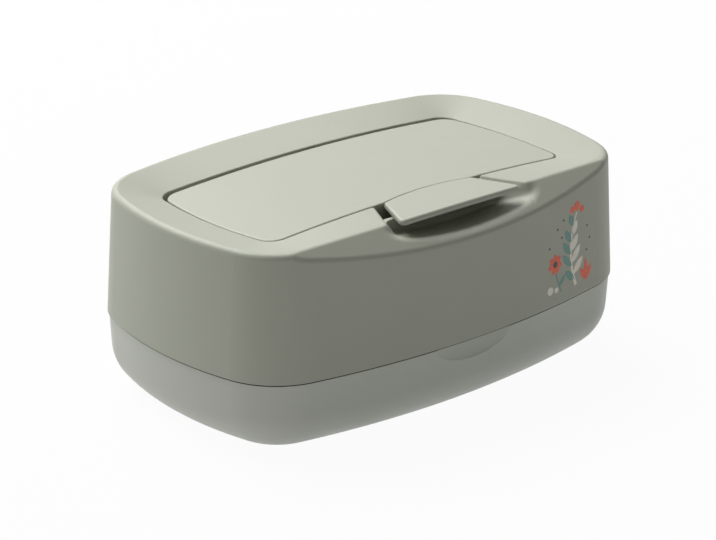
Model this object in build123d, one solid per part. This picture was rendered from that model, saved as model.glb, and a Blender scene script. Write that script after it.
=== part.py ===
# A free-standing baby wipes box: a tub, a lift-off cover, a sprung lid and its push button.
# Millimetres. The origin is the middle of the base, +X along the box, the front faces -Y and +Z is up.
from build123d import *
import math
import os

# Driving dimensions of the whole box.
length = 226.0
depth = 147.0
height = 92.0
seam_height = 36.0
side_bow = 16.5
end_bow = 18.4
corner_radius = 33.0
cover_draft = 3.25
tub_draft = 3.0
tub_bottom_radius = 21.0
wall = 2.2
rim_radius = 2.5
rim_dish_inset = 5.8
rim_dish_front_y = -57.0
rim_dish_front_radius = 24.0
seam_gap = 0.8
tub_set_back = 0.7

# The inclined facet along the front of the rim.
facet_top_y = -58.0
facet_fall = 0.806
facet_low_radius = 3.0

# The lid.
lid_half_length = 85.7
lid_front_y = -38.0
lid_back_y = 37.4
lid_end_bow = 3.6
lid_corner_radius = 8.0
lid_crown_radius = 1000.0
lid_middle_height = height - 0.4
lid_tilt = 1.375
lid_wall = 1.9
lid_skirt_bottom = height - 9.0
lid_edge_radius = 0.8
side_gap = 0.55
back_gap = 2.5
recess_lip_radius = 0.7

# The lid's hinge.
hinge_y = lid_back_y - 6.5
hinge_z = height - 7.6
rod_diameter = 2.4
rod_play = 0.12
rod_end = 0.5
knuckle_radius = rod_diameter / 2 + 1.8
lug_radius = rod_diameter / 2 + 1.5
knuckle_middle_x = 45.0
knuckle_width = 9.6
lug_width = 3.3
hinge_side_gap = 0.4
rod_length = 2 * (knuckle_middle_x + knuckle_width / 2 + hinge_side_gap + lug_width + rod_end)
lid_spring_half = 9.0

# The liner under the lid.
liner_back_y = hinge_y - knuckle_radius - 2.4
liner_thickness = 1.6

# The deck under the lid and the mouth that the wipes are drawn through.
deck_top = height - 16.0
mouth_half_length = lid_half_length - 10.7
mouth_front_y = lid_front_y + 9.0
mouth_back_y = liner_back_y - 3.5
mouth_radius = 12.0
collar_wall = 2.0
seal_gap = 0.05
seal_thickness = 1.65
seal_overhang = 0.3
collar_top = lid_skirt_bottom - seal_thickness - seal_gap

# The push button.
button_offset = 2.5
button_rise = 0.5
button_back_y = -38.9
button_front_y = -61.0
button_back_half = 25.0
button_front_half = 34.5
button_thickness = 2.4
button_back_bow = 3.0
button_back_gap = 0.5
button_front_bow = 0.8
button_corner_radius = 2.2
button_edge_radius = 1.2
button_under_radius = 0.4
cheek_x = 17.5
cheek_width = 3.0
nose_half = 6.0
nose_bite = 0.35
pivot_y = -43.0
pivot_z = height - 10.0
pin_diameter = 2.0
pin_play = 0.1
cheek_radius = pin_diameter / 2 + 1.4

# The notch in the rim, the chamber under the button and the finger scoop.
notch_back_half = 30.8
notch_spread = 0.48
notch_side_fall = 0.82
notch_floor_z = height - 2.5
chamber_front_y = pivot_y - 4.5
scoop_wall = 2.0
scoop_back_y = -49.5
scoop_out_y = -76.0
scoop_lip_y = -67.9
scoop_lip_z = height - 7.8
scoop_floor_fall = 0.12
scoop_lip_corner = 15.0
scoop_back_corner = 6.0
scoop_back_radius = 4.0
scoop_edge_radius = 1.3

# The bracket that carries the button.
bracket_base = 1.8
bracket_edge = 2.6
bracket_back_y = pivot_y + 3.0
bracket_front_gap = 0.6
bracket_lug_gap = 1.2
bracket_lug_width = 2.6
bracket_lug_radius = pin_diameter / 2 + 1.2
bracket_lug_x = cheek_x + cheek_width / 2 + bracket_lug_gap + bracket_lug_width / 2
pin_end = 0.2
pin_length = 2 * (bracket_lug_x + bracket_lug_width / 2 + pin_end)
screw_radius = 1.1
screw_play = 0.2
screw_head_radius = 2.1
screw_head_height = 1.4
screw_length = 7.0
screw_gap = 1.1
screw_x = bracket_lug_x + bracket_lug_width / 2 + screw_head_radius + screw_gap
boss_radius = screw_radius + 1.6
boss_length = 3.4

# The joint between tub and cover.
lip_wall = 1.6
lip_top = seam_height + 5.0

# The feet.
foot_height = 0.8
foot_pocket = 0.8
foot_radius = 7.0
foot_x = 68.0
foot_y = 32.0

# Helpers.
clearance = 0.15
far = 400.0


def arc_centre(half_span, sag, half_size):
    """Where the centre of a bowed side's arc lies on its axis, and the arc's radius."""
    radius = (half_span**2 + sag**2) / (2 * sag)
    return half_size - radius, radius


def box_corner(inset):
    """Where a long side's arc and an end's arc meet, set back by an inset."""
    long_centre, long_radius = arc_centre(length / 2, side_bow, depth / 2)
    end_centre, end_radius = arc_centre(depth / 2, end_bow, length / 2)
    x, y = length / 2, depth / 2
    for _ in range(40):
        y = long_centre + math.sqrt((long_radius - inset) ** 2 - x**2)
        x = end_centre + math.sqrt((end_radius - inset) ** 2 - y**2)
    return x, y


def box_outline(inset):
    """The box's outline at the seam, set back by an inset: four arcs that bow out, with rounded corners."""
    x, y = box_corner(inset)
    side = depth / 2 - inset
    end = length / 2 - inset
    front = ThreePointArc((-x, -y), (0, -side), (x, -y))
    right = ThreePointArc((x, -y), (end, 0), (x, y))
    back = ThreePointArc((x, y), (0, side), (-x, y))
    left = ThreePointArc((-x, y), (-end, 0), (-x, -y))
    face = make_face([front, right, back, left])
    return fillet(face.vertices(), corner_radius - inset)


def rim_outline(inset):
    """The rim's upper edge in plan: the box's outline with a straight front, where the facet begins."""
    x, y = box_corner(inset)
    side = depth / 2 - inset
    end = length / 2 - inset
    end_centre, end_radius = arc_centre(depth / 2, end_bow, length / 2)
    front_x = end_centre + math.sqrt((end_radius - inset) ** 2 - rim_dish_front_y**2)
    front = Line((-front_x, rim_dish_front_y), (front_x, rim_dish_front_y))
    right = ThreePointArc((front_x, rim_dish_front_y), (end, 0), (x, y))
    back = ThreePointArc((x, y), (0, side), (-x, y))
    left = ThreePointArc((-x, y), (-end, 0), (-front_x, rim_dish_front_y))
    face = make_face([front, right, back, left])
    face = fillet(face.vertices().group_by(Axis.Y)[0], rim_dish_front_radius)
    return fillet(face.vertices().group_by(Axis.Y)[-1], corner_radius - inset)


def drafted(low_z, low_inset, high_z, high_inset):
    """A solid with drafted walls between two sizes of the box's outline."""
    low = Pos(0, 0, low_z) * box_outline(low_inset)
    high = Pos(0, 0, high_z) * box_outline(high_inset)
    return loft([low, high], ruled=True)


def straight_outline(half_length, front_y, back_y, bow, radius):
    """A rounded rectangle with straight long sides and ends that bow outwards."""
    shoulder = half_length - bow
    middle_y = (front_y + back_y) / 2
    front = Line((-shoulder, front_y), (shoulder, front_y))
    right = ThreePointArc((shoulder, front_y), (half_length, middle_y), (shoulder, back_y))
    back = Line((shoulder, back_y), (-shoulder, back_y))
    left = ThreePointArc((-shoulder, back_y), (-half_length, middle_y), (-shoulder, front_y))
    face = make_face([front, right, back, left])
    return fillet(face.vertices(), radius)


def prism(face, bottom, top):
    """A flat face drawn up into a solid between two heights."""
    return extrude(Pos(0, 0, bottom) * face, amount=top - bottom, dir=(0, 0, 1))


def rounded_plate(half_length, front_y, back_y, radius):
    """A plain rounded rectangle."""
    middle = (front_y + back_y) / 2
    return Pos(0, middle) * RectangleRounded(2 * half_length, back_y - front_y, radius)


def block(x_from, x_to, y_from, y_to, z_from, z_to):
    """A box given by its limits."""
    middle = Pos((x_from + x_to) / 2, (y_from + y_to) / 2, (z_from + z_to) / 2)
    return middle * Box(x_to - x_from, y_to - y_from, z_to - z_from)


def x_cylinder(radius, x_from, x_to, y, z):
    """A round bar along X."""
    return Pos((x_from + x_to) / 2, y, z) * Rot(0, 90, 0) * Cylinder(radius, x_to - x_from)


def below_crown(drop):
    """Everything below the lid's crowned and slightly tilted top, lowered by a drop."""
    drum = Rot(90, 0, 0) * Cylinder(lid_crown_radius, far)
    return Pos(0, 0, lid_middle_height - drop) * Rot(-lid_tilt, 0, 0) * Pos(0, 0, -lid_crown_radius) * drum


def lid_outline(gap):
    """The lid's outline, widened by a gap all round."""
    return straight_outline(
        lid_half_length + gap,
        lid_front_y - gap,
        lid_back_y + gap,
        lid_end_bow,
        lid_corner_radius + gap,
    )


def recess_outline(extra):
    """The opening in the rim that the lid drops into."""
    return straight_outline(
        lid_half_length + side_gap + extra,
        lid_front_y - side_gap - extra,
        lid_back_y + back_gap + extra,
        lid_end_bow,
        lid_corner_radius + extra,
    )


def facet_cutter(drop):
    """Everything in front of and above the inclined facet, moved inwards by a drop."""
    angle = math.degrees(math.atan(facet_fall))
    local = block(-far / 2, far / 2, -far / 2, far / 2, -drop, far / 4)
    return Pos(0, facet_top_y, height) * Rot(angle, 0, 0) * local


def wire_at(z, face):
    """The outline of a flat face, moved to a height."""
    return (Pos(0, 0, z) * face).faces()[0].outer_wire()


def dish():
    """What is cut from the rim so that it slopes down on every side to meet the crowned lid."""
    crown = prism(recess_outline(0), height - 30, height + 5) & below_crown(0)
    inner = crown.faces().sort_by(Axis.Z)[-1].outer_wire()
    low = wire_at(height - 8, recess_outline(-3))
    rim = wire_at(height + 0.05, rim_outline(rim_dish_inset))
    top = wire_at(height + 8, rim_outline(rim_dish_inset))
    return Solid.make_loft([low, inner, rim, top], ruled=True)


def notch_half(y, z):
    """Half the width of the notch at a point, whose sides spread forwards and lean outwards."""
    return notch_back_half + notch_spread * (button_back_y - y) - notch_side_fall * (height - z)


def cut_section(y, floor_z, corner, extra):
    """The notch's or the scoop's section across the box, grown by an allowance."""
    top_z = height + 6
    low = notch_half(y, floor_z) + extra
    high = notch_half(y, top_z) + extra
    corners = [
        (button_offset - low, floor_z),
        (button_offset + low, floor_z),
        (button_offset + high, top_z),
        (button_offset - high, top_z),
    ]
    face = make_face(Polyline(*corners, close=True))
    if corner > 0:
        face = fillet(face.vertices().group_by(Axis.Y)[0], corner)
    return Plane(origin=(0, y, 0), x_dir=(1, 0, 0), z_dir=(0, -1, 0)) * face


def notch_top(extra):
    """The shallow upper part of the notch, from the lid to the front of the scoop's back wall."""
    sections = [cut_section(lid_front_y, notch_floor_z - extra, 0, extra)]
    sections.append(cut_section(scoop_back_y - 5, notch_floor_z - extra, 0, extra))
    return loft(sections, ruled=True)


def scoop_floor(y):
    """The height of the scoop's floor, which falls gently inwards from the lip."""
    return scoop_lip_z + scoop_floor_fall * (scoop_lip_y - y)


def scoop(extra):
    """The finger scoop as a solid, grown by an allowance."""
    back_y = scoop_back_y + extra
    outer = cut_section(scoop_out_y, scoop_floor(scoop_out_y) - extra, scoop_lip_corner + extra, extra)
    inner = cut_section(back_y, scoop_floor(scoop_back_y) - extra, scoop_back_corner + extra, extra)
    body = loft([outer, inner], ruled=True)
    back = [e for e in body.edges() if e.bounding_box().min.Y > back_y - 0.01]
    back = [e for e in back if e.bounding_box().min.Z < height]
    return fillet(back, scoop_back_radius)


def chamber(extra):
    """The deep space behind the scoop that holds the button's works, grown by an allowance."""
    front_y = chamber_front_y - extra
    front_half = notch_half(front_y, notch_floor_z) + extra
    back_half = notch_half(lid_front_y, notch_floor_z) + extra
    corners = [
        (button_offset - front_half, front_y),
        (button_offset + front_half, front_y),
        (button_offset + back_half, lid_front_y + extra),
        (button_offset - back_half, lid_front_y + extra),
    ]
    return make_face(Polyline(*corners, close=True))


def on_facet(point, allowance):
    """Whether a point lies on the inclined facet."""
    return abs(point.Z - height - facet_fall * (point.Y - facet_top_y)) < allowance


def cut_edges(body):
    """The edges where the notch and the scoop meet the rim and the facet."""
    found = []
    for edge in body.edges():
        middle = edge.position_at(0.5)
        if abs(middle.X - button_offset) > 44 or middle.Y > lid_front_y - side_gap:
            continue
        across = abs(middle.X - button_offset) - notch_half(middle.Y, middle.Z)
        along_rim = middle.Z > height - 0.8 and abs(across) < 0.05
        ends_on_facet = on_facet(edge.position_at(0), 0.9) and on_facet(edge.position_at(1), 0.9)
        along_facet = on_facet(middle, 0.05) and ends_on_facet and edge.length < 80
        if along_rim or along_facet:
            found.append(edge)
    return found


def recess_edges(body):
    """The upper edges of the recess that the lid drops into."""
    found = []
    for edge in body.edges():
        middle = edge.position_at(0.5)
        in_plan = abs(middle.X) < lid_half_length + 2 and lid_front_y - 1 < middle.Y < lid_back_y + 3
        box = edge.bounding_box()
        if in_plan and middle.Z > height - 5.5 and box.size.X + box.size.Y > 2.5:
            if box.min.Z > notch_floor_z + 0.1 or abs(middle.X - button_offset) > notch_back_half:
                found.append(edge)
    return found


def make_tub():
    """The lower tub with its lip, its shallow thumb dent and the pockets for its feet."""
    shoulder_z = seam_height - seam_gap
    shrink = (shoulder_z - foot_height) * math.tan(math.radians(tub_draft))
    floor_z = foot_height + wall + 0.2
    outer = drafted(foot_height, tub_set_back + shrink, shoulder_z, tub_set_back)
    outer = fillet(outer.edges().group_by(Axis.Z)[0], tub_bottom_radius)
    inner = drafted(floor_z, tub_set_back + shrink + wall, shoulder_z - 7, tub_set_back + wall)
    inner = fillet(inner.edges().group_by(Axis.Z)[0], tub_bottom_radius - wall)
    lip_outer = wall + 4 * clearance
    lip_inner = lip_outer + lip_wall
    neck = drafted(shoulder_z - 7, tub_set_back + wall, shoulder_z - 3, lip_inner)
    throat = prism(box_outline(lip_inner), shoulder_z - 3, lip_top + 1)
    tub = outer + prism(box_outline(lip_outer), shoulder_z - 1, lip_top)
    tub = tub - (inner + neck + throat)
    dent = Pos(0, -depth / 2 + tub_set_back, shoulder_z) * scale(Sphere(10), by=(2.4, 0.14, 0.9))
    tub = tub - dent
    for x, y in foot_places():
        tub = tub - Pos(x, y, foot_height) * Cylinder(foot_radius + 0.1, 2 * foot_pocket)
    return tub


def foot_places():
    """The four corners that the feet stand at."""
    return [(x, y) for x in (-foot_x, foot_x) for y in (-foot_y, foot_y)]


def make_feet():
    """Four soft pads with a rounded lower edge."""
    feet = []
    for x, y in foot_places():
        pad = Pos(x, y, (foot_height + foot_pocket) / 2) * Cylinder(foot_radius, foot_height + foot_pocket)
        feet.append(fillet(pad.edges().group_by(Axis.Z)[0], 0.4))
    return Compound(children=feet)


def make_cover_seal():
    """The soft cord that fills the joint between tub and cover, set back from the outside."""
    ring = box_outline(1.0) - box_outline(wall + 0.1)
    return prism(ring, seam_height - seam_gap, seam_height - 0.02)


def cover_shell():
    """The cover's outer form: drafted bowed walls, a rounded rim and the soft-edged facet along the front."""
    shrink = (height - seam_height) * math.tan(math.radians(cover_draft))
    body = drafted(seam_height, 0, height, shrink) - facet_cutter(0)
    low = [edge for edge in body.edges() if seam_height + 20 < edge.bounding_box().min.Z < height - 1.5]
    body = fillet([edge for edge in low if edge.bounding_box().max.Z < height - 1], facet_low_radius)
    rim = [edge for edge in body.edges() if abs(edge.center().Z - height) < 0.05]
    return fillet(rim, rim_radius)


def cover_inside():
    """The space inside the cover's walls."""
    top = height - wall - 0.2
    shrink = (top - seam_height) * math.tan(math.radians(cover_draft))
    return drafted(seam_height, wall, top, wall + shrink) - facet_cutter(wall)


def hinge_lugs():
    """Four rounded lugs on the deck that carry the rod."""
    lugs = []
    reach = knuckle_width / 2 + hinge_side_gap
    for side in (-1, 1):
        for face in (-1, 1):
            start = side * knuckle_middle_x + face * reach
            end = start + face * lug_width
            low, high = min(start, end), max(start, end)
            stem = block(low, high, hinge_y - lug_radius, hinge_y + 2.0, deck_top - 1, hinge_z)
            lugs.append(stem + x_cylinder(lug_radius, low, high, hinge_y, hinge_z))
    return lugs


def make_cover():
    """The upper shell with its dished rim, deck, collar, notch, scoop, hinge lugs and screw bosses."""
    floor_z = deck_top - wall
    cover = cover_shell() - dish()
    cover = cover - (scoop(0) + notch_top(0))
    cover = fillet(cut_edges(cover), scoop_edge_radius)
    cover = cover - prism(recess_outline(0), deck_top, height + 5)
    cover = fillet(recess_edges(cover), recess_lip_radius)
    cover = cover - prism(chamber(0), deck_top, height + 5)
    blocks = prism(recess_outline(2.0), floor_z, height + 1)
    blocks = blocks + prism(chamber(scoop_wall), floor_z, height + 1)
    blocks = blocks + scoop(scoop_wall) + notch_top(scoop_wall)
    blocks = blocks + Pos(0, 0, -wall - 0.2) * dish()
    cover = cover - (cover_inside() - blocks)
    mouth = rounded_plate(mouth_half_length, mouth_front_y, mouth_back_y, mouth_radius)
    collar = rounded_plate(
        mouth_half_length + collar_wall,
        mouth_front_y - collar_wall,
        mouth_back_y + collar_wall,
        mouth_radius + collar_wall,
    )
    cover = cover + prism(collar, deck_top - 0.5, collar_top)
    for lug in hinge_lugs():
        cover = cover + lug
    for x in screw_places():
        cover = cover + Pos(x, pivot_y, floor_z - boss_length / 2 + 0.3) * Cylinder(boss_radius, boss_length + 0.6)
    cover = cover - prism(mouth, deck_top - 10, height)
    cover = cover - x_cylinder(rod_diameter / 2, -rod_length / 2, rod_length / 2, hinge_y, hinge_z)
    for x in screw_places():
        cover = cover - Pos(x, pivot_y, deck_top - 3) * Cylinder(screw_radius, 8)
    return cover


def front_arc(extra):
    """A tall round post whose side is the hollow in the lid's front edge, just behind the button."""
    radius = (button_back_half**2 + button_back_bow**2) / (2 * button_back_bow)
    middle = button_back_y + button_back_bow - radius
    return Pos(button_offset, middle, height) * Cylinder(radius + button_back_gap + extra, 60)


def make_lid():
    """The crowned outer panel with its skirt and the two hinge knuckles."""
    panel = prism(lid_outline(0), lid_skirt_bottom, height + 5) - front_arc(0)
    panel = panel & below_crown(0)
    panel = fillet(panel.faces().sort_by(Axis.Z)[-1].edges(), lid_edge_radius)
    hollow = prism(lid_outline(-lid_wall), lid_skirt_bottom - 1, height + 5) - front_arc(lid_wall)
    lid = panel - (hollow & below_crown(lid_wall))
    reach = knuckle_width / 2
    slot_front = hinge_y + knuckle_radius + 0.5
    for middle in (-knuckle_middle_x, knuckle_middle_x):
        low, high = middle - reach, middle + reach
        web = block(low, high, hinge_y - knuckle_radius, hinge_y + knuckle_radius, hinge_z, height)
        lid = lid + (web & below_crown(0.5)) + x_cylinder(knuckle_radius, low, high, hinge_y, hinge_z)
        slot_reach = reach + hinge_side_gap + lug_width + 0.6
        for edge in (-1, 1):
            ends = (middle + edge * (reach + 0.1), middle + edge * slot_reach)
            slot = block(min(ends), max(ends), slot_front, lid_back_y + 1, deck_top, height)
            lid = lid - (slot & below_crown(lid_wall))
    spring_slot = block(-lid_spring_half, lid_spring_half, slot_front, lid_back_y + 1, deck_top, height)
    lid = lid - (spring_slot & below_crown(lid_wall))
    return lid - x_cylinder(rod_diameter / 2 + rod_play, -length / 2, length / 2, hinge_y, hinge_z)


def make_liner():
    """The inner panel that closes the lid's underside in front of the hinge."""
    inset = lid_wall + clearance
    outline = straight_outline(
        lid_half_length - inset - 0.5,
        lid_front_y + inset,
        liner_back_y,
        lid_end_bow,
        lid_corner_radius - inset,
    )
    return prism(outline, lid_skirt_bottom, lid_skirt_bottom + liner_thickness) - front_arc(inset)


def make_lid_seal():
    """The soft ring between the liner and the collar round the mouth."""
    outside = collar_wall + seal_overhang
    outer = rounded_plate(
        mouth_half_length + outside,
        mouth_front_y - outside,
        mouth_back_y + outside,
        mouth_radius + outside,
    )
    inner = rounded_plate(
        mouth_half_length - seal_overhang,
        mouth_front_y + seal_overhang,
        mouth_back_y - seal_overhang,
        mouth_radius - seal_overhang,
    )
    return prism(outer - inner, collar_top + seal_gap, lid_skirt_bottom)


def make_rod():
    """The steel hinge rod."""
    return x_cylinder(rod_diameter / 2, -rod_length / 2, rod_length / 2, hinge_y, hinge_z)


def wound_spring(coil_radius, wire_radius, pitch, whole_turns, end_angle, leg_down, leg_up):
    """A torsion spring along X on one path: a leg straight down, the coil, and a leg off at an angle."""
    turns = whole_turns + end_angle / 360
    rise = pitch * turns
    turned = Pos(-rise / 2, 0, 0) * Rot(90, 0, 0) * Rot(0, 90, 0)
    coil = turned * Helix(pitch=pitch, height=rise, radius=coil_radius)
    start = coil @ 0
    end = coil @ 1
    first = Line(start - (coil % 0) * leg_down, start)
    last = Line(end, end + (coil % 1) * leg_up)
    path = Wire([first.edge(), coil.edge(), last.edge()])
    section = Plane(origin=path @ 0, z_dir=path % 0) * Circle(wire_radius)
    return sweep(section, path=path)


def make_lid_spring():
    """The torsion spring that lifts the lid: one leg on the deck and one under the panel."""
    leg_down = hinge_z - deck_top - 0.5
    return Pos(0, hinge_y, hinge_z) * wound_spring(2.1, 0.4, 1.3, 8, 75, leg_down, 9.1)


def button_plan():
    """The button in plan: a wide front, sides that close in backwards and a back that bows into the lid."""
    front_left = (button_offset - button_front_half, button_front_y)
    front_right = (button_offset + button_front_half, button_front_y)
    back_right = (button_offset + button_back_half, button_back_y)
    back_left = (button_offset - button_back_half, button_back_y)
    front = ThreePointArc(front_left, (button_offset, button_front_y - button_front_bow), front_right)
    back = ThreePointArc(back_right, (button_offset, button_back_y + button_back_bow), back_left)
    face = make_face([front, Line(front_right, back_right), back, Line(back_left, front_left)])
    return fillet(face.vertices(), button_corner_radius)


def make_button():
    """The tab with its two cheeks, their pivot eyes and the nose that holds the lid."""
    plate = prism(button_plan(), height - 10, height + 10)
    plate = (plate & below_crown(-button_rise)) - below_crown(button_thickness - button_rise)
    plate = fillet(plate.faces().sort_by(Axis.Z)[-1].edges(), button_edge_radius)
    button = fillet(plate.faces().sort_by(Axis.Z)[0].edges(), button_under_radius)
    for side in (-1, 1):
        middle = button_offset + side * cheek_x
        low, high = middle - cheek_width / 2, middle + cheek_width / 2
        cheek = block(low, high, pivot_y - cheek_radius, pivot_y + cheek_radius, pivot_z, height)
        cheek = (cheek & below_crown(0.5)) + x_cylinder(cheek_radius, low, high, pivot_y, pivot_z)
        button = button + cheek
    nose_y = button_back_y + button_back_bow + button_back_gap - nose_bite
    left, right = button_offset - nose_half, button_offset + nose_half
    tongue = block(left, right, -41.2, button_back_y + 0.2, height - 6.5, height - 1)
    nose = block(left, right, -41.2, nose_y, height - 6.5, height - 4.5)
    button = button + tongue + nose
    return button - x_cylinder(pin_diameter / 2 + pin_play, -length / 2, length / 2, pivot_y, pivot_z)


def make_bracket():
    """The moulded carrier that is screwed to the floor of the chamber and holds the pin."""
    left = button_offset - screw_x - bracket_edge
    right = button_offset + screw_x + bracket_edge
    front_y = chamber_front_y + bracket_front_gap
    base = block(left, right, front_y, bracket_back_y, deck_top, deck_top + bracket_base)
    bracket = fillet(base.edges().filter_by(Axis.Z), 1.5)
    for side in (-1, 1):
        middle = button_offset + side * bracket_lug_x
        low, high = middle - bracket_lug_width / 2, middle + bracket_lug_width / 2
        front_y, back_y = pivot_y - bracket_lug_radius, pivot_y + bracket_lug_radius
        bracket = bracket + block(low, high, front_y, back_y, deck_top + 0.5, pivot_z)
        bracket = bracket + x_cylinder(bracket_lug_radius, low, high, pivot_y, pivot_z)
    bracket = bracket - x_cylinder(pin_diameter / 2, -length / 2, length / 2, pivot_y, pivot_z)
    for x in screw_places():
        bracket = bracket - Pos(x, pivot_y, deck_top) * Cylinder(screw_radius + screw_play, 8)
    return bracket


def screw_places():
    """Where the bracket's two screws stand along X."""
    return [button_offset - screw_x, button_offset + screw_x]


def make_screws():
    """Two equal pan-head screws."""
    screws = []
    head_z = deck_top + bracket_base
    for x in screw_places():
        middle_z = head_z + screw_head_height / 2
        head = Pos(x, pivot_y, middle_z) * Cylinder(screw_head_radius, screw_head_height)
        head = fillet(head.edges().group_by(Axis.Z)[-1], 0.6)
        shank = Pos(x, pivot_y, head_z - screw_length / 2) * Cylinder(screw_radius, screw_length)
        screws.append(head + shank)
    return Compound(children=screws)


def make_pin():
    """The steel pin that the button rocks on."""
    start = button_offset - pin_length / 2
    return x_cylinder(pin_diameter / 2, start, start + pin_length, pivot_y, pivot_z)


def make_button_spring():
    """The torsion spring that brings the button back up."""
    leg_down = pivot_z - deck_top - bracket_base - 0.3
    return Pos(button_offset, pivot_y, pivot_z) * wound_spring(1.6, 0.25, 0.9, 6, 30, leg_down, 8.4)


nodes = {
    "base_tub": make_tub,
    "base_feet": make_feet,
    "cover_seal": make_cover_seal,
    "top_cover": make_cover,
    "lid": make_lid,
    "lid_liner": make_liner,
    "lid_seal": make_lid_seal,
    "hinge_rod": make_rod,
    "lid_spring": make_lid_spring,
    "release_button": make_button,
    "button_bracket": make_bracket,
    "button_pin": make_pin,
    "button_spring": make_button_spring,
    "bracket_screws": make_screws,
}

os.makedirs("parts", exist_ok=True)
for name, make in nodes.items():
    shape = make()
    export_step(shape, f"parts/{name}.step")
    print(f"{name}: {len(shape.solids())} solids, {shape.volume:.1f} mm3")
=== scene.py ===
"""Looks of the baby wipes box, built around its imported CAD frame."""
import math

import bmesh
import bpy
from mathutils import Matrix, Vector
from mathutils.bvhtree import BVHTree
from mathutils.geometry import tessellate_polygon


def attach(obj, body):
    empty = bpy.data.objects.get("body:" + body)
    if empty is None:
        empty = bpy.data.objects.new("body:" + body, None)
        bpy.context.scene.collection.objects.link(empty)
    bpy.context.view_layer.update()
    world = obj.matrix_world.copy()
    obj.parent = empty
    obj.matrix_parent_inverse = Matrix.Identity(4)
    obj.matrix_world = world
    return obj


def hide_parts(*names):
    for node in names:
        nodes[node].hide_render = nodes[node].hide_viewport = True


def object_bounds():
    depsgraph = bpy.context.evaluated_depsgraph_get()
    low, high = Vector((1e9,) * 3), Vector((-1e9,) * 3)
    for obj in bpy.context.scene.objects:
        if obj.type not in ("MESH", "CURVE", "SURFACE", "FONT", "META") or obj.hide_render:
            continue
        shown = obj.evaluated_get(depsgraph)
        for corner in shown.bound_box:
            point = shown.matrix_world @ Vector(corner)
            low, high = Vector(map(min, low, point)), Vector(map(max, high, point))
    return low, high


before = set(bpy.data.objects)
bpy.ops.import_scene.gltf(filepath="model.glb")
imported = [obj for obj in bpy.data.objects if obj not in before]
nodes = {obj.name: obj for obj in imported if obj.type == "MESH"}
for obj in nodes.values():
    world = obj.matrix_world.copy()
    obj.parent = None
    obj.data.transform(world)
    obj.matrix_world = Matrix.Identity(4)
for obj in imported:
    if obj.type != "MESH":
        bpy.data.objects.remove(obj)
cad_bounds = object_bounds()
MM = 0.001


def add_object(name, data):
    """A new object in the scene."""
    made = bpy.data.objects.new(name, data)
    bpy.context.scene.collection.objects.link(made)
    return made


def cleared_tree(owner):
    """The node tree of a material or a world, with no nodes in it."""
    owner.use_nodes = True
    owner.node_tree.nodes.clear()
    return owner.node_tree


# The camera, from a fit to the box's outline. The steps are across and up the picture.
VIEW_AZIMUTH = -40.587
VIEW_ELEVATION = 22.190
VIEW_ROLL = 0.401
VIEW_DISTANCE = 1223.5 * MM
VIEW_CENTRE_HEIGHT = 50.0 * MM
VIEW_SIDE_STEP = -2.557 * MM
VIEW_UP_STEP = -5.652 * MM
PICTURE_WIDTH = 716
FOCAL_LENGTH_PIXELS = 2764.07
SENSOR_WIDTH = 36.0
CLIP_NEAR = 0.01
CLIP_FAR = 50.0


def make_camera():
    """A camera that stands where the photograph was taken from."""
    azimuth = math.radians(VIEW_AZIMUTH)
    elevation = math.radians(VIEW_ELEVATION)
    roll = math.radians(VIEW_ROLL)
    back = Vector((
        math.sin(azimuth) * math.cos(elevation),
        -math.cos(azimuth) * math.cos(elevation),
        math.sin(elevation),
    ))
    level = Vector((math.cos(azimuth), math.sin(azimuth), 0.0))
    upright = back.cross(level)
    right = math.cos(roll) * level + math.sin(roll) * upright
    up = -math.sin(roll) * level + math.cos(roll) * upright
    aim = Vector((0.0, 0.0, VIEW_CENTRE_HEIGHT))
    eye = aim + back * VIEW_DISTANCE + right * VIEW_SIDE_STEP + up * VIEW_UP_STEP
    data = bpy.data.cameras.new("camera")
    data.sensor_fit = "HORIZONTAL"
    data.sensor_width = SENSOR_WIDTH
    data.lens = FOCAL_LENGTH_PIXELS / PICTURE_WIDTH * SENSOR_WIDTH
    data.clip_start = CLIP_NEAR
    data.clip_end = CLIP_FAR
    camera = add_object("camera", data)
    turn = Matrix((right, up, back)).transposed().to_4x4()
    camera.matrix_world = Matrix.Translation(eye) @ turn
    bpy.context.scene.camera = camera


def srgb(red, green, blue):
    """The linear colour of an 8-bit sRGB one, with alpha 1."""
    linear = []
    for level in (red, green, blue):
        share = level / 255.0
        if share <= 0.04045:
            linear.append(share / 12.92)
        else:
            linear.append(((share + 0.055) / 1.055) ** 2.4)
    return (*linear, 1.0)


def darker(colour, share):
    """A colour with its three levels lowered to a share."""
    return tuple(share * level for level in colour[:3]) + (1.0,)


# The span where a noise mostly lies, then each finish's noises: scales per metre and depths in metres
NOISE_LOW = 0.3
NOISE_HIGH = 0.7
DRIFT_SCALE = 9.0
SHEEN_SCALE = 55.0
SHEEN_SPREAD = 0.04
GRAIN_SCALE = 1500.0
WAVE_SCALE = 28.0
WAVE_DEPTH = 0.00012
WAVE_STRENGTH = 0.6
PLASTIC_IOR = 1.47
LINE_SCALE = 5200.0
LINE_STRETCH = 0.03
LINE_DEPTH = 0.00001
LINE_SPREAD = 0.06
LINE_TONE = 0.8
CLOUD_SCALE = 120.0
CLOUD_SPREAD = 0.05
CLOUD_TONE = 0.85
RUBBER_GRAIN_SCALE = 2600.0
RUBBER_GRAIN_DEPTH = 0.00002
INK_COVER_SCALE = 900.0
INK_TONE = 0.88
INK_ROUGHNESS_LOW = 0.46
INK_ROUGHNESS_HIGH = 0.58
INK_DEPTH = 0.00001


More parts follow.
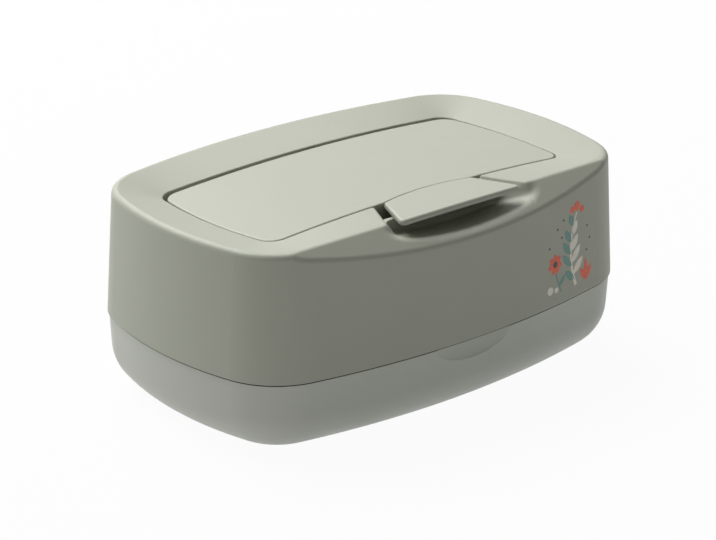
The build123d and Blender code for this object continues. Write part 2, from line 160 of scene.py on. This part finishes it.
class Shader:
    """A node material with short calls for what the finishes need."""

    def __init__(self, name):
        self.material = bpy.data.materials.new(name)
        self.tree = cleared_tree(self.material)
        self.surface = self.node("ShaderNodeBsdfPrincipled")
        self.link(self.surface.outputs["BSDF"], self.node("ShaderNodeOutputMaterial").inputs["Surface"])
        self.place = self.node("ShaderNodeTexCoord").outputs["Object"]

    def node(self, kind):
        """A new node of a kind."""
        return self.tree.nodes.new(kind)

    def link(self, source, target):
        """Links an output to an input."""
        self.tree.links.new(source, target)

    def feed(self, name, source):
        """Links a source to one of the surface's inputs."""
        self.link(source, self.surface.inputs[name])

    def noise(self, scale, detail, roughness=0.5, stretch=None):
        """A noise that is fixed to the object, with a stretch for each axis if one is given."""
        texture = self.node("ShaderNodeTexNoise")
        texture.inputs["Scale"].default_value = scale
        texture.inputs["Detail"].default_value = detail
        texture.inputs["Roughness"].default_value = roughness
        if stretch is None:
            self.link(self.place, texture.inputs["Vector"])
        else:
            mapping = self.node("ShaderNodeMapping")
            mapping.inputs["Scale"].default_value = stretch
            self.link(self.place, mapping.inputs["Vector"])
            self.link(mapping.outputs["Vector"], texture.inputs["Vector"])
        return texture.outputs["Fac"]

    def between(self, fac, low=0.0, high=1.0):
        """The span where a noise mostly lies, mapped to low to high."""
        spread = self.node("ShaderNodeMapRange")
        spread.inputs["From Min"].default_value = NOISE_LOW
        spread.inputs["From Max"].default_value = NOISE_HIGH
        spread.inputs["To Min"].default_value = low
        spread.inputs["To Max"].default_value = high
        self.link(fac, spread.inputs["Value"])
        return spread.outputs["Result"]

    def mix(self, fac, first, second):
        """A colour between two colours."""
        blend = self.node("ShaderNodeMix")
        blend.data_type = "RGBA"
        self.link(fac, blend.inputs["Factor"])
        ends = [end for end in blend.inputs if end.type == "RGBA"]
        ends[0].default_value = first
        ends[1].default_value = second
        return [result for result in blend.outputs if result.type == "RGBA"][0]

    def bump(self, height, distance, strength=1.0, before=None):
        """Small relief of a height in metres, on top of an earlier one if it is given."""
        made = self.node("ShaderNodeBump")
        made.inputs["Strength"].default_value = strength
        made.inputs["Distance"].default_value = distance
        self.link(height, made.inputs["Height"])
        if before is not None:
            self.link(before, made.inputs["Normal"])
        return made.outputs["Normal"]


def moulded_plastic(name, colour, deeper, roughness, grain_depth):
    """Moulded plastic with a fine eroded grain, a slow drift of tone and a slightly uneven sheen."""
    shader = Shader(name)
    drift = shader.between(shader.noise(DRIFT_SCALE, detail=3.0))
    shader.feed("Base Color", shader.mix(drift, colour, deeper))
    uneven = shader.noise(SHEEN_SCALE, detail=4.0, roughness=0.6)
    shader.feed("Roughness", shader.between(uneven, roughness - SHEEN_SPREAD, roughness + SHEEN_SPREAD))
    fine = shader.bump(shader.noise(GRAIN_SCALE, detail=3.0, roughness=0.6), grain_depth)
    waves = shader.noise(WAVE_SCALE, detail=1.0)
    shader.feed("Normal", shader.bump(waves, WAVE_DEPTH, WAVE_STRENGTH, before=fine))
    shader.surface.inputs["IOR"].default_value = PLASTIC_IOR
    return shader.material


def drawn_metal(name, colour, roughness, along):
    """Drawn or plated steel with fine lines along one axis."""
    shader = Shader(name)
    stretch = tuple(LINE_STRETCH if axis == along else 1.0 for axis in "xyz")
    lines = shader.noise(LINE_SCALE, detail=2.0, stretch=stretch)
    shader.feed("Base Color", shader.mix(shader.between(lines), colour, darker(colour, LINE_TONE)))
    shader.feed("Roughness", shader.between(lines, roughness - LINE_SPREAD, roughness + LINE_SPREAD))
    shader.feed("Normal", shader.bump(lines, LINE_DEPTH))
    shader.surface.inputs["Metallic"].default_value = 1.0
    return shader.material


def soft_rubber(name, colour, roughness):
    """Soft moulded rubber with a fine dull grain."""
    shader = Shader(name)
    cloud = shader.between(shader.noise(CLOUD_SCALE, detail=3.0))
    shader.feed("Base Color", shader.mix(cloud, colour, darker(colour, CLOUD_TONE)))
    shader.feed("Roughness", shader.between(cloud, roughness - CLOUD_SPREAD, roughness + CLOUD_SPREAD))
    shader.feed("Normal", shader.bump(shader.noise(RUBBER_GRAIN_SCALE, detail=2.0), RUBBER_GRAIN_DEPTH))
    return shader.material


def printed_ink(name, colour):
    """Matt printing ink with a faint uneven cover."""
    shader = Shader(name)
    cover = shader.between(shader.noise(INK_COVER_SCALE, detail=4.0, roughness=0.7))
    shader.feed("Base Color", shader.mix(cover, colour, darker(colour, INK_TONE)))
    shader.feed("Roughness", shader.between(cover, INK_ROUGHNESS_LOW, INK_ROUGHNESS_HIGH))
    shader.feed("Normal", shader.bump(shader.noise(GRAIN_SCALE, detail=2.0), INK_DEPTH))
    return shader.material


def paint(node, material):
    """Gives a CAD node one material all over."""
    mesh = nodes[node].data
    mesh.materials.clear()
    mesh.materials.append(material)
    for face in mesh.polygons:
        face.use_smooth = True


make_camera()

# The colours and finishes, and which CAD node has each
SAGE = srgb(172, 175, 160)
SAGE_DEEP = srgb(169, 172, 157)
TUB_GREY = srgb(190, 193, 183)
TUB_GREY_DEEP = srgb(187, 190, 180)
BRACKET_GREY = srgb(150, 152, 146)
BRACKET_GREY_DEEP = srgb(146, 148, 142)

cover_plastic = moulded_plastic("cover_plastic", SAGE, SAGE_DEEP, roughness=0.50, grain_depth=0.00003)
lid_plastic = moulded_plastic("lid_plastic", SAGE, SAGE_DEEP, roughness=0.42, grain_depth=0.00002)
button_plastic = moulded_plastic("button_plastic", SAGE, SAGE_DEEP, roughness=0.40, grain_depth=0.00002)
tub_plastic = moulded_plastic(
    "tub_plastic", TUB_GREY, TUB_GREY_DEEP, roughness=0.45, grain_depth=0.00003
)
inner_plastic = moulded_plastic("inner_plastic", SAGE, SAGE_DEEP, roughness=0.42, grain_depth=0.00001)
bracket_plastic = moulded_plastic(
    "bracket_plastic", BRACKET_GREY, BRACKET_GREY_DEEP, roughness=0.50, grain_depth=0.00002
)
rod_steel = drawn_metal("rod_steel", (0.60, 0.60, 0.59, 1.0), roughness=0.30, along="x")
spring_steel = drawn_metal("spring_steel", (0.52, 0.52, 0.53, 1.0), roughness=0.28, along="z")
screw_steel = drawn_metal("screw_steel", (0.62, 0.62, 0.60, 1.0), roughness=0.34, along="z")
soft_grey = soft_rubber("soft_grey", srgb(120, 121, 118), roughness=0.8)
# The cover's seal is dark rubber, made near black as painted shade of the gap along the seam between
# cover and tub.
soft_dark = soft_rubber("soft_dark", srgb(22, 22, 21), roughness=0.9)
soft_clear = soft_rubber("soft_clear", srgb(214, 214, 208), roughness=0.6)

finishes = {
    "base_tub": tub_plastic,
    "base_feet": soft_grey,
    "cover_seal": soft_dark,
    "top_cover": cover_plastic,
    "lid": lid_plastic,
    "lid_liner": inner_plastic,
    "lid_seal": soft_clear,
    "hinge_rod": rod_steel,
    "lid_spring": spring_steel,
    "release_button": button_plastic,
    "button_bracket": bracket_plastic,
    "button_pin": rod_steel,
    "button_spring": spring_steel,
    "bracket_screws": screw_steel,
}
for node, material in finishes.items():
    paint(node, material)

# The finger scoop's soft bowl, in millimetres. The facet that it lies in begins at the rim's front edge
# and falls forwards. Places on it are across it, down it from its top and out from it.
FACET_TOP_Y = -57.24
FACET_TOP_Z = 92.61
FACET_FALL = 0.806

# The bowl's outline: its middle, half its width, its reach down the facet, how square its corners are,
# and the limits that keep the sums sound far out and at its middle
SCOOP_MIDDLE = 3.4
SCOOP_HALF = 43.5
SCOOP_REACH = 14.4
SIDE_POWER = 1.8
REACH_POWER = 3.0
OUTLINE_LIMIT = 1.3
LEAST_PLACE = 0.1
LEAST_LENGTH = 1e-4

# The bowl's form: its rounded lip, the slopes of its floor and of its ends
LIP_ROUNDING = 1.9
FLOOR_SLOPE = 1.0
SIDE_STEEPNESS = 1.4

# How far down the facet the CAD cover's pocket has passed into the bowl, in the middle and at its ends
BLEND_FROM = 0.0
BLEND_TO = 3.2
SIDE_BLEND_TO = 9.0
SIDE_STARTS = 24.0
SIDE_ENDS = 35.0

# The bowl's region, its lip, the CAD pocket's half width, how far in the cover's outer skin reaches,
# and what is too steep or too slight to be changed
BOWL_LIMIT = 18.0
BOWL_EDGE = SCOOP_HALF + 2 * LIP_ROUNDING
LIP_AT = 13.9
POCKET_HALF = 40.0
OUTER_SKIN = -12.2
LEAST_FACING = 0.05
LEAST_CHANGE = 0.002

# The mesh's cuts in millimetres, and its tolerances in metres
CUT_STEP_ACROSS = 0.9
CUT_STEP_DOWN = 0.55
MERGE_GAP = 1e-6
CUT_TOLERANCE = 5e-6
SLIVER_LENGTH = 2e-6

facet_across = Vector((1.0, 0.0, 0.0))
facet_down = Vector((0.0, -1.0, -FACET_FALL)).normalized()
facet_out = Vector((0.0, -FACET_FALL, 1.0)).normalized()
facet_top = Vector((SCOOP_MIDDLE, FACET_TOP_Y, FACET_TOP_Z)) * MM


def facet_place(point):
    """A point's place in millimetres: across the facet, down it from the rim, and out from it."""
    offset = (point - facet_top) / MM
    return offset.x, offset.dot(facet_down), offset.dot(facet_out)


def inside_lip(across, down):
    """The distance inside the bowl's bowed outline, less than nothing outside it."""
    width = abs(across)
    reach = max(down, 0.0)
    share_across = min(width / SCOOP_HALF, OUTLINE_LIMIT) ** SIDE_POWER
    share_down = min(reach / SCOOP_REACH, OUTLINE_LIMIT) ** REACH_POWER
    level = 1 - share_across - share_down
    if level <= 0:
        slope_across = SIDE_POWER * share_across / max(width, LEAST_PLACE)
        slope_down = REACH_POWER * share_down / max(reach, LEAST_PLACE)
        return level / max(math.hypot(slope_across, slope_down), LEAST_LENGTH)
    to_front = SCOOP_REACH * (1 - share_across) ** (1 / REACH_POWER) - reach
    to_side = SIDE_STEEPNESS * (SCOOP_HALF * (1 - share_down) ** (1 / SIDE_POWER) - width)
    return to_front * to_side / max(math.hypot(to_front, to_side), LEAST_LENGTH)


def bowl_depth(across, down):
    """How deep the bowl is below the facet, with a rounded lip and an even slope inwards."""
    inside = inside_lip(across, down)
    if inside <= -LIP_ROUNDING:
        return 0.0
    if inside < LIP_ROUNDING:
        return FLOOR_SLOPE * (inside + LIP_ROUNDING) ** 2 / (4 * LIP_ROUNDING)
    return FLOOR_SLOPE * inside


def smooth_share(value, start, end):
    """0 up to start and 1 from end on, with a smooth rise between them."""
    share = min(max((value - start) / (end - start), 0.0), 1.0)
    return share * share * (3 - 2 * share)


def cut_across(work, tag, direction, distances):
    """Cuts the tagged faces along planes that lie across one direction, at distances in millimetres."""
    for distance in distances:
        faces = [face for face in work.faces if face[tag]]
        edges = {edge for face in faces for edge in face.edges}
        vertices = {vertex for face in faces for vertex in face.verts}
        bmesh.ops.bisect_plane(
            work,
            geom=list(vertices) + list(edges) + faces,
            dist=CUT_TOLERANCE,
            plane_co=facet_top + direction * (distance * MM),
            plane_no=direction,
        )


def tag_bowl_faces(work, tag):
    """Tags the cover's outer faces in the bowl's region, and cuts them fine enough for its form."""
    for face in work.faces:
        across, down, _ = zip(*(facet_place(vertex.co) for vertex in face.verts))
        beside = min(across) < BOWL_EDGE and max(across) > -BOWL_EDGE
        level = max(down) > BLEND_FROM and min(down) < BOWL_LIMIT
        face[tag] = int(beside and level and face.normal.dot(facet_out) > LEAST_FACING)
    bmesh.ops.remove_doubles(work, verts=work.verts[:], dist=MERGE_GAP)
    cut_across(work, tag, facet_across, (-BOWL_EDGE, BOWL_EDGE))
    cut_across(work, tag, facet_down, (BLEND_FROM, BOWL_LIMIT))
    for face in work.faces:
        if face[tag]:
            across, down, _ = facet_place(face.calc_center_median())
            deepest = min(facet_place(vertex.co)[2] for vertex in face.verts)
            inside = abs(across) < BOWL_EDGE and BLEND_FROM < down < BOWL_LIMIT
            face[tag] = int(inside and deepest > OUTER_SKIN)
    steps_across = int(2 * BOWL_EDGE / CUT_STEP_ACROSS) + 1
    steps_down = int((BOWL_LIMIT - BLEND_FROM) / CUT_STEP_DOWN) + 1
    across_cuts = [-BOWL_EDGE + step * CUT_STEP_ACROSS for step in range(steps_across)]
    down_cuts = [BLEND_FROM + step * CUT_STEP_DOWN for step in range(steps_down)]
    cut_across(work, tag, facet_across, across_cuts)
    cut_across(work, tag, facet_down, down_cuts)


def sink_bowl(work, tag, moved):
    """Moves the tagged faces' vertices to the bowl's form, and marks those that moved."""
    for vertex in {vertex for face in work.faces if face[tag] for vertex in face.verts}:
        across, down, out = facet_place(vertex.co)
        if abs(across) > BOWL_EDGE or not BLEND_FROM < down < BOWL_LIMIT:
            continue
        height = -bowl_depth(across, down)
        # Past the lip and beside the CAD cover's pocket, nothing is raised
        if down > LIP_AT or abs(across + SCOOP_MIDDLE) > POCKET_HALF:
            height = min(height, out)
        side = smooth_share(abs(across), SIDE_STARTS, SIDE_ENDS)
        end = BLEND_TO + (SIDE_BLEND_TO - BLEND_TO) * side
        change = (height - out) * smooth_share(down, BLEND_FROM, end)
        if abs(change) > LEAST_CHANGE:
            vertex.co += facet_out * (change * MM)
            vertex[moved] = 1


def make_cover_with_bowl():
    """The cover with its finger scoop drawn out into a soft bowl, which stands for the CAD cover."""
    source = nodes["top_cover"].data
    corner_normals = [Vector(normal.vector) for normal in source.corner_normals]
    work = bmesh.new()
    work.from_mesh(source)
    kept = work.loops.layers.float_vector.new("kept_normal")
    tag = work.faces.layers.int.new("bowl")
    moved = work.verts.layers.int.new("moved")
    for face, polygon in zip(work.faces, source.polygons):
        for loop, index in zip(face.loops, polygon.loop_indices):
            loop[kept] = corner_normals[index]
    tag_bowl_faces(work, tag)
    sink_bowl(work, tag, moved)
    bmesh.ops.dissolve_degenerate(work, edges=work.edges[:], dist=SLIVER_LENGTH)
    work.normal_update()
    normals = []
    for face in work.faces:
        for loop in face.loops:
            if loop.vert[moved]:
                normals.append(loop.vert.normal.copy())
            else:
                normals.append(Vector(loop[kept]).normalized())
    mesh = bpy.data.meshes.new("cover_with_bowl")
    work.to_mesh(mesh)
    work.free()
    for face in mesh.polygons:
        face.use_smooth = True
    mesh.normals_split_custom_set(normals)
    mesh.materials.append(cover_plastic)
    piece = add_object("cover_with_bowl", mesh)
    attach(piece, "cover")
    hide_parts("top_cover")


make_cover_with_bowl()


# The print on the front wall. Its outlines are in millimetres, across and up the wall. They lie in
# a few layers, so that those that cross don't share a surface.
PRINT_LIFT = 0.06
PRINT_SINK = 0.05
LAYER_STEP = 0.006
LAYERS = 4
RAY_START = 10.0
LEAF_FULLNESS = 0.8
LEAST_HALF_WIDTH = 0.01

front_mesh = nodes["top_cover"].data
front_wall = BVHTree.FromPolygons(
    [vertex.co for vertex in front_mesh.vertices],
    [face.vertices for face in front_mesh.polygons],
)


def on_wall(across, up, lift):
    """The point on the front wall at a place, lifted off it along the wall's normal."""
    start = Vector((across * MM, cad_bounds[0][1] - RAY_START * MM, up * MM))
    place, normal, _, _ = front_wall.ray_cast(start, Vector((0.0, 1.0, 0.0)))
    if normal.y > 0:
        normal = -normal
    return place + normal * (lift * MM)


def disc(across, up, radius, steps=22):
    """A round outline."""
    turns = [2 * math.pi * step / steps for step in range(steps)]
    return [(across + radius * math.cos(turn), up + radius * math.sin(turn)) for turn in turns]


def ribbon(spine, widths):
    """An outline that follows a spine with a width at each of its points."""
    left = []
    right = []
    last = len(spine) - 1
    for index, (across, up) in enumerate(spine):
        before = spine[max(index - 1, 0)]
        after = spine[min(index + 1, last)]
        run = math.hypot(after[0] - before[0], after[1] - before[1])
        side = (-(after[1] - before[1]) / run, (after[0] - before[0]) / run)
        half = widths[index] / 2
        if half < LEAST_HALF_WIDTH:
            left.append((across, up))
        else:
            left.append((across + side[0] * half, up + side[1] * half))
            right.append((across - side[0] * half, up - side[1] * half))
    return left + right[::-1]


def leaf(across, up, angle, long, wide, bend=0.0, steps=12):
    """A pointed leaf that grows from a point at an angle in degrees and bends sideways."""
    heading = math.radians(angle)
    spine = []
    for step in range(steps + 1):
        share = step / steps
        side = bend * math.sin(math.pi * share / 2) * share
        spine.append((
            across + long * share * math.cos(heading) - side * math.sin(heading),
            up + long * share * math.sin(heading) + side * math.cos(heading),
        ))
    widths = [wide * math.sin(math.pi * step / steps) ** LEAF_FULLNESS for step in range(steps + 1)]
    return ribbon(spine, widths)


def curve_points(start, pull, end, steps=24):
    """Points along a curve from start to end that is drawn towards a third point."""
    points = []
    for step in range(steps + 1):
        share = step / steps
        points.append(tuple(
            (1 - share) ** 2 * start[axis] + 2 * share * (1 - share) * pull[axis] + share**2 * end[axis]
            for axis in (0, 1)
        ))
    return points


def stem(start, pull, end, wide_low, wide_high):
    """A stem that thins upwards."""
    spine = curve_points(start, pull, end)
    last = len(spine) - 1
    widths = [wide_low + (wide_high - wide_low) * index / last for index in range(last + 1)]
    return ribbon(spine, widths)


def make_print(name, outlines, material):
    """One colour of the print as thin closed plates, which lie on the wall and reach just into it."""
    vertices = []
    faces = []
    for layer, outline in enumerate(outlines):
        lift = PRINT_LIFT + LAYER_STEP * (layer % LAYERS)
        count = len(outline)
        top = len(vertices)
        under = top + count
        vertices += [on_wall(across, up, lift) for across, up in outline]
        vertices += [on_wall(across, up, -PRINT_SINK) for across, up in outline]
        flat = [Vector((across, up, 0.0)) for across, up in outline]
        for a, b, c in tessellate_polygon([flat]):
            faces.append((top + a, top + b, top + c))
            faces.append((under + c, under + b, under + a))
        for index in range(count):
            following = (index + 1) % count
            faces.append((top + index, top + following, under + following, under + index))
    mesh = bpy.data.meshes.new(name)
    mesh.from_pydata(vertices, [], faces)
    mesh.update()
    plates = bmesh.new()
    plates.from_mesh(mesh)
    bmesh.ops.recalc_face_normals(plates, faces=plates.faces)
    plates.to_mesh(mesh)
    plates.free()
    mesh.materials.append(material)
    piece = add_object(name, mesh)
    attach(piece, "cover")


# The tall stem, its leaves' angles in degrees and their bend, the flower, the tuft's leaves by angle
# and length, and the dots
SPRIG_FOOT = (65.0, 41.5)
SPRIG_PULL = (57.5, 58.0)
SPRIG_TIP = (66.0, 75.0)
LOW_LEAF_ANGLE = 58
LEAF_ANGLE_LOSS = 26
LEAF_BEND = 1.0
FLOWER = (50.5, 55.0)
PETALS = 7
TUFT = ((58, 8.0), (90, 10.5), (122, 8.0))
DOT_RADIUS = 0.55
DOTS = (
    (55.2, 66.0), (52.4, 70.5), (56.6, 73.6), (46.8, 63.2), (73.6, 66.5), (75.4, 60.5), (73.0, 55.5),
)


def sprig_leaves(side, shares, lengths, wide):
    """Leaves on one side of the tall stem, which stand closer to it higher up."""
    spine = curve_points(SPRIG_FOOT, SPRIG_PULL, SPRIG_TIP)
    found = []
    for share, long in zip(shares, lengths):
        index = round(share * (len(spine) - 1))
        angle = 90 - side * (LOW_LEAF_ANGLE - LEAF_ANGLE_LOSS * share)
        found.append(leaf(*spine[index], angle, long, wide, side * LEAF_BEND))
    return found


cream_outlines = [stem(SPRIG_FOOT, SPRIG_PULL, SPRIG_TIP, 1.7, 0.8)]
cream_outlines += sprig_leaves(1, (0.16, 0.34, 0.52, 0.70), (9.5, 9.5, 8.5, 7.0), 3.6)
cream_outlines += [disc(47.0, 43.6, 1.9), disc(51.2, 43.0, 1.3)]
teal_outlines = sprig_leaves(-1, (0.10, 0.28, 0.46, 0.64, 0.82), (8.5, 9.0, 8.5, 7.5, 6.0), 3.4)
teal_outlines.append(stem((54.5, 41.5), (52.5, 46.0), (50.8, 51.0), 0.9, 0.7))
teal_outlines.append(leaf(53.4, 44.2, 55, 6.0, 2.2, -0.8))
coral_outlines = [leaf(*FLOWER, 90 + petal * 360 / PETALS, 4.9, 2.9) for petal in range(PETALS)]
coral_outlines += [disc(66.2, 77.6, 2.1), disc(69.9, 75.4, 1.6), disc(62.8, 76.6, 1.6)]
coral_outlines += [leaf(72.5, 41.5, angle, long, 2.7) for angle, long in TUFT]
dark_outlines = [disc(*place, DOT_RADIUS, 12) for place in DOTS]
dark_outlines.append(disc(*FLOWER, 1.5))

make_print("print_cream", cream_outlines, printed_ink("print_cream", srgb(240, 237, 220)))
make_print("print_teal", teal_outlines, printed_ink("print_teal", srgb(116, 158, 150)))
make_print("print_coral", coral_outlines, printed_ink("print_coral", srgb(240, 112, 82)))
make_print("print_dark", dark_outlines, printed_ink("print_dark", srgb(74, 76, 72)))


# The lights. The key stands behind and above the box, and the fill is a faint one to its left.
LIGHT_AIM = (0.0, 0.0, 0.05)
KEY_PLACE = (-0.12, 1.34, 1.88)
KEY_SIZE = (2.2, 1.8)
KEY_POWER = 75.0
FILL_PLACE = (-1.9, -0.2, 0.7)
FILL_SIZE = (1.0, 1.0)
FILL_POWER = 0.2

# The surroundings. Their light and what glossy pieces mirror of them grow towards AMBIENT_FROM.
WHITE = (1.0, 1.0, 1.0, 1.0)
AMBIENT_FROM = (-0.22, 0.70, 0.65)
AMBIENT = 0.14
AMBIENT_LEAN = 0.12
MIRRORED_LEVEL = 0.55
MIRRORED_LEAN = 0.75

# The floor. Seen directly or mirrored, most of it is plain white, and the rest takes the box's shadow.
FLOOR_HALF = 6.0
FLOOR_COLOUR = (0.45, 0.45, 0.45, 1.0)
FLOOR_GLOW = 0.31
FLOOR_WHITE_SHARE = 0.93


def area_light(name, place, size, power):
    """A rectangular light that is aimed at the box."""
    data = bpy.data.lights.new(name, "AREA")
    data.shape = "RECTANGLE"
    data.size = size[0]
    data.size_y = size[1]
    data.energy = power
    light = add_object(name, data)
    light.location = place
    towards = Vector(LIGHT_AIM) - Vector(place)
    light.rotation_euler = towards.to_track_quat("-Z", "Y").to_euler()


area_light("key_light", KEY_PLACE, KEY_SIZE, KEY_POWER)
area_light("left_light", FILL_PLACE, FILL_SIZE, FILL_POWER)


def calculated(tree, operation, first, second, third=None):
    """A math node's result, from links and constants."""
    sums = tree.nodes.new("ShaderNodeMath")
    sums.operation = operation
    for index, value in enumerate((first, second, third)):
        if isinstance(value, float):
            sums.inputs[index].default_value = value
        elif value is not None:
            tree.links.new(value, sums.inputs[index])
    return sums.outputs[0]


def blended(tree, share, first, second):
    """A blend of two shaders."""
    blend = tree.nodes.new("ShaderNodeMixShader")
    tree.links.new(share, blend.inputs["Fac"])
    tree.links.new(first, blend.inputs[1])
    tree.links.new(second, blend.inputs[2])
    return blend.outputs["Shader"]


def seen_or_mirrored(tree):
    """1 for rays that look at the white set directly, in a reflection or through a clear piece."""
    path = tree.nodes.new("ShaderNodeLightPath").outputs
    mirrored = calculated(tree, "MAXIMUM", path["Is Glossy Ray"], path["Is Transmission Ray"])
    return calculated(tree, "MAXIMUM", path["Is Camera Ray"], mirrored)


def glowing(tree, strength):
    """A plain white glow."""
    glow = tree.nodes.new("ShaderNodeEmission")
    glow.inputs["Strength"].default_value = strength
    return glow.outputs["Emission"]


def make_floor():
    """A white floor that keeps the box's shadow."""
    bpy.ops.mesh.primitive_plane_add(size=2 * FLOOR_HALF, location=(0.0, 0.0, 0.0))
    floor = bpy.context.object
    floor.name = "floor"
    material = bpy.data.materials.new("floor")
    tree = cleared_tree(material)
    matt = tree.nodes.new("ShaderNodeBsdfDiffuse")
    matt.inputs["Color"].default_value = FLOOR_COLOUR
    table = tree.nodes.new("ShaderNodeAddShader")
    tree.links.new(matt.outputs["BSDF"], table.inputs[0])
    tree.links.new(glowing(tree, FLOOR_GLOW), table.inputs[1])
    share = calculated(tree, "MULTIPLY", seen_or_mirrored(tree), FLOOR_WHITE_SHARE)
    surface = blended(tree, share, table.outputs[0], glowing(tree, 1.0))
    tree.links.new(surface, tree.nodes.new("ShaderNodeOutputMaterial").inputs["Surface"])
    floor.data.materials.append(material)


def leaning_level(tree, level, lean):
    """A level that grows towards AMBIENT_FROM."""
    direction = tree.nodes.new("ShaderNodeTexCoord").outputs["Generated"]
    towards = tree.nodes.new("ShaderNodeVectorMath")
    towards.operation = "DOT_PRODUCT"
    towards.inputs[1].default_value = AMBIENT_FROM
    tree.links.new(direction, towards.inputs[0])
    return calculated(tree, "MULTIPLY_ADD", towards.outputs["Value"], lean, level)


def white_background(tree, level):
    """A white background of a level."""
    background = tree.nodes.new("ShaderNodeBackground")
    background.inputs["Color"].default_value = WHITE
    tree.links.new(level, background.inputs["Strength"])
    return background.outputs["Background"]


def make_world():
    """Soft light from all round and mostly from behind and above, and white where the camera looks."""
    world = bpy.data.worlds.new("world")
    bpy.context.scene.world = world
    tree = cleared_tree(world)
    ambient = leaning_level(tree, AMBIENT, AMBIENT_LEAN)
    mirrored = calculated(tree, "MINIMUM", leaning_level(tree, MIRRORED_LEVEL, MIRRORED_LEAN), 1.0)
    camera_looks = tree.nodes.new("ShaderNodeLightPath").outputs["Is Camera Ray"]
    seen = calculated(tree, "MAXIMUM", mirrored, camera_looks)
    surface = blended(
        tree,
        seen_or_mirrored(tree),
        white_background(tree, ambient),
        white_background(tree, seen),
    )
    tree.links.new(surface, tree.nodes.new("ShaderNodeOutputWorld").inputs["Surface"])


make_floor()
make_world()
bpy.context.scene.view_settings.view_transform = "Standard"
